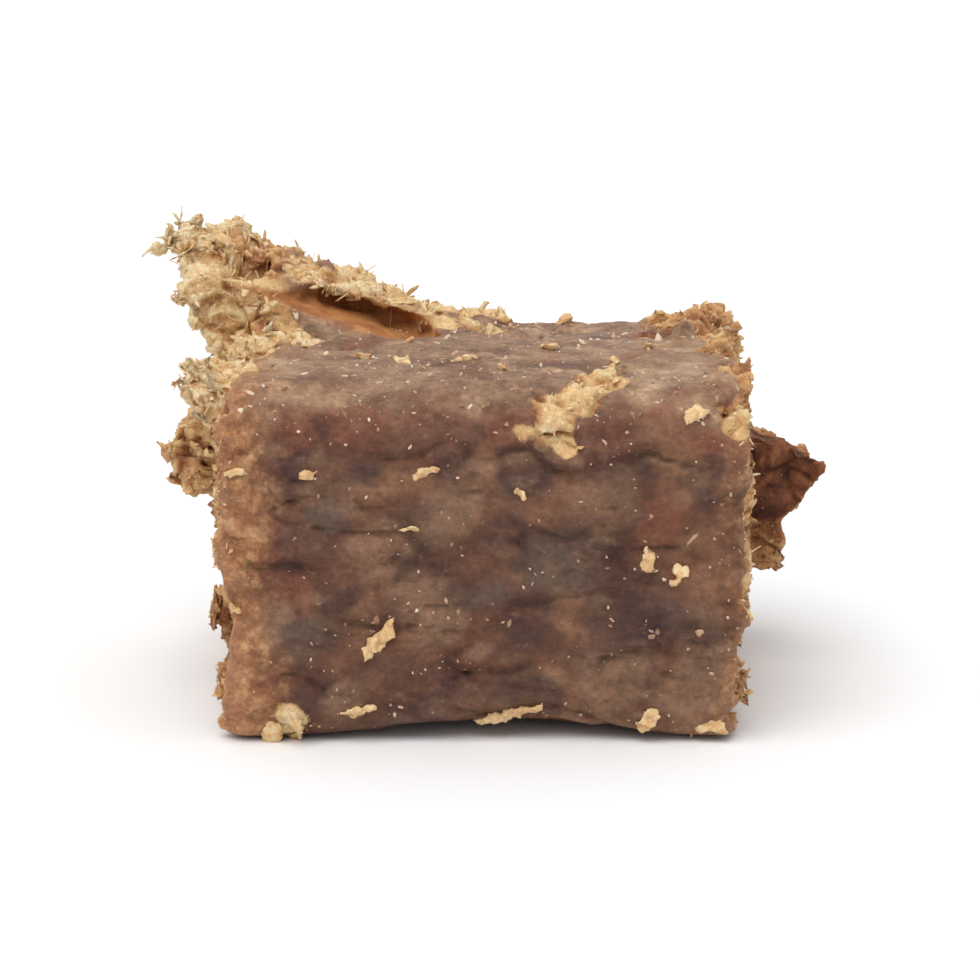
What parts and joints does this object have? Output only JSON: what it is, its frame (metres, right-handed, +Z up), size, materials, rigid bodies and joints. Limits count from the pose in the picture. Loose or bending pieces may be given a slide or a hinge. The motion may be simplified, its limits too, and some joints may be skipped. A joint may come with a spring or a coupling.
{
  "type": "dried beef cube",
  "caption": "Bite-sized block cut from pressed dried beef, with smooth cut faces, crumbly torn ends and a peeled, ragged flap on top.",
  "frame": {"origin": "middle of the flat base, on the surface that the cube stands on", "axes": "+Z up; the smooth cut front face looks along -Y; the torn ends face -X and +X, and the peeled flap is at the back of the -X end"},
  "size_m": [0.0195, 0.0127, 0.0134],
  "materials": {
    "dried_beef": "dried meat: greasy sheen on the cut faces, matt and tan where torn"
  },
  "bodies": {
    "root": {"beef_cube": "dried_beef"}
  },
  "joints": []
}
